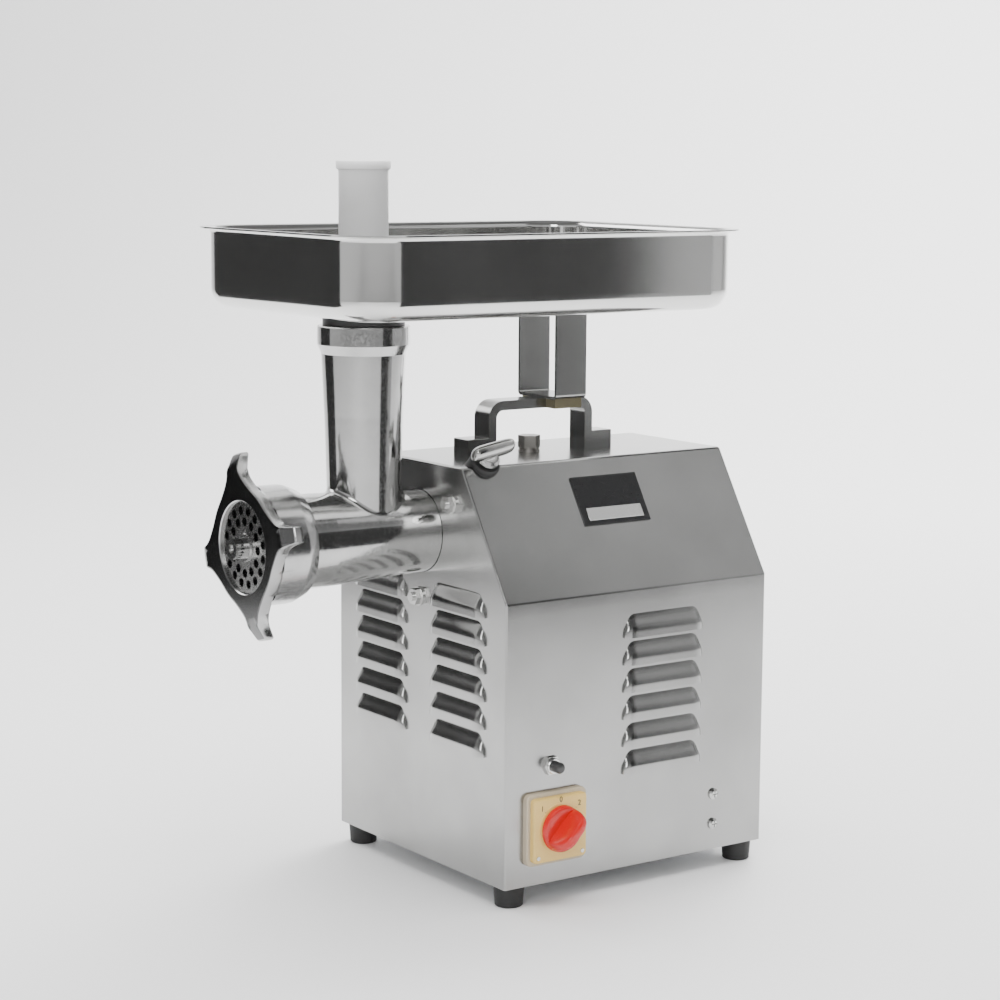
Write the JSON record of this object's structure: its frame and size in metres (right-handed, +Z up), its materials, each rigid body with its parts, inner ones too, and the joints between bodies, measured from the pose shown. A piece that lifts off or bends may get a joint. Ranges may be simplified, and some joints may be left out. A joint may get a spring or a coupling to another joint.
{
  "type": "electric meat grinder",
  "caption": "Bench-top electric meat grinder: folded steel casing with louvres, screw-fed grinding head, drilled plate, lugged ring, feed tray, pusher, handle and rotary switch.",
  "frame": {"origin": "on the worktop, at the centre of the four feet", "axes": "+Z up; -Y towards the grinding head; +X towards the switch side"},
  "size_m": [0.3099, 0.4786, 0.619],
  "materials": {
    "casing_steel": "fine horizontal brushed stainless sheet",
    "tray_steel": "bright drawn stainless steel",
    "handle_steel": "polished stainless flat bar",
    "head_metal": "bead-blasted tinned casting, satin",
    "ring_metal": "satin tinned casting with a darker front face",
    "plate_steel": "ground steel",
    "shaft_steel": "ground steel",
    "gear_steel": "cut steel",
    "core_steel": "laminated electrical steel",
    "bearing_steel": "bearing steel",
    "fastener_steel": "zinc-plated steel",
    "bright_steel": "polished steel",
    "knob_bright": "plated die casting",
    "zinc_steel": "galvanised sheet",
    "cast_case": "painted casting",
    "motor_paint": "grey motor enamel",
    "copper_wire": "enamelled copper wire",
    "capacitor_plastic": "moulded can",
    "black_rubber": "matt black rubber",
    "clamp_bronze": "olive passivated steel",
    "plug_metal": "plated steel",
    "frame_plastic": "clear grey gasket frame",
    "plate_plastic": "ochre moulded plate",
    "red_plastic": "red moulded knob",
    "boot_plastic": "dark soft cap",
    "black_plastic": "black moulding",
    "fan_plastic": "moulded fan",
    "white_plastic": "white food-grade moulding",
    "spigot_plastic": "black moulded sleeve",
    "badge_plate": "black plate with a silver bar"
  },
  "bodies": {
    "root": {"casing_wrap": "casing_steel", "front_panel": "casing_steel", "rear_panel": "casing_steel", "floor_pan": "zinc_steel", "rubber_feet": "black_rubber", "foot_screws": "fastener_steel", "side_screws": "fastener_steel", "gear_case": "cast_case", "gear_case_cover": "cast_case", "gear_case_bolts": "fastener_steel", "output_bearings": "bearing_steel", "idler_bearings": "bearing_steel", "motor_bearings": "bearing_steel", "output_seal": "black_rubber", "motor_housing": "motor_paint", "motor_end_shield": "motor_paint", "stator_core": "core_steel", "stator_windings": "copper_wire", "motor_cradle": "zinc_steel", "start_capacitor": "capacitor_plastic", "head_socket": "cast_case", "socket_bolts": "fastener_steel", "lock_grommet": "black_rubber", "handle": "handle_steel", "handle_blocks": "handle_steel", "handle_bolts": "fastener_steel", "roof_stiffener": "zinc_steel", "tray_support": "handle_steel", "support_clamps": "clamp_bronze", "oil_plug": "plug_metal", "switch_frame": "frame_plastic", "switch_plate": "plate_plastic", "switch_body": "black_plastic", "reset_nut": "fastener_steel", "breaker_body": "black_plastic", "cable_gland": "black_plastic", "badge": "badge_plate"},
    "rotor": {"motor_shaft": "shaft_steel", "rotor_core": "core_steel", "motor_pinion": "gear_steel", "motor_fan": "fan_plastic"},
    "idler": {"idler_shaft": "shaft_steel", "idler_gear": "gear_steel", "idler_pinion": "gear_steel"},
    "output": {"output_shaft": "shaft_steel", "output_gear": "gear_steel"},
    "head": {"grinder_head": "head_metal", "hole_plate": "plate_steel"},
    "feed_screw": {"auger": "head_metal", "knife": "plate_steel"},
    "clamp_ring": {"ring_nut": "ring_metal"},
    "pan": {"tray": "tray_steel", "tray_spigot": "spigot_plastic"},
    "stomper": {"pusher": "white_plastic"},
    "lock": {"lock_screw": "bright_steel", "lock_knob": "knob_bright"},
    "selector": {"switch_spindle": "black_plastic", "switch_knob": "red_plastic"},
    "reset": {"reset_cap": "boot_plastic"}
  },
  "joints": [
    {"name": "motor_spin", "type": "hinge", "parent": "root", "child": "rotor", "pos_m": [0, 0, 0.179], "axis": [0, 1, 0], "continuous": true},
    {"name": "idler_spin", "type": "hinge", "parent": "root", "child": "idler", "pos_m": [0, 0, 0.241], "axis": [0, 1, 0], "continuous": true},
    {"name": "output_spin", "type": "hinge", "parent": "root", "child": "output", "pos_m": [0, 0, 0.305], "axis": [0, 1, 0], "continuous": true},
    {"name": "head_slide", "type": "slide", "parent": "root", "child": "head", "axis": [0, -1, 0], "range_m": [0, 0.08]},
    {"name": "screw_spin", "type": "hinge", "parent": "head", "child": "feed_screw", "pos_m": [0, -0.2, 0.305], "axis": [0, 1, 0], "continuous": true},
    {"name": "ring_turn", "type": "hinge", "parent": "head", "child": "clamp_ring", "pos_m": [0, -0.29, 0.305], "axis": [0, -1, 0], "range_deg": [0, 360]},
    {"name": "tray_lift", "type": "slide", "parent": "head", "child": "pan", "axis": [0, 0, 1], "range_m": [0, 0.05]},
    {"name": "pusher_lift", "type": "slide", "parent": "head", "child": "stomper", "axis": [0, 0, 1], "range_m": [0, 0.25]},
    {"name": "lock_turn", "type": "hinge", "parent": "root", "child": "lock", "pos_m": [0, -0.116, 0.305], "axis": [0.7071, 0, 0.7071], "range_deg": [0, 360]},
    {"name": "switch_turn", "type": "hinge", "parent": "root", "child": "selector", "pos_m": [0.141, -0.0905, 0.0668], "axis": [1, 0, 0], "range_deg": [0, 90]},
    {"name": "reset_press", "type": "slide", "parent": "root", "child": "reset", "axis": [-1, 0, 0], "range_m": [0, 0.003], "stiffness_N_per_m": 400}
  ],
  "couplings": [
    {"joint": "idler_spin", "follows": "motor_spin", "ratio": -0.37778},
    {"joint": "output_spin", "follows": "motor_spin", "ratio": 0.14783},
    {"joint": "screw_spin", "follows": "motor_spin", "ratio": 0.14783}
  ]
}
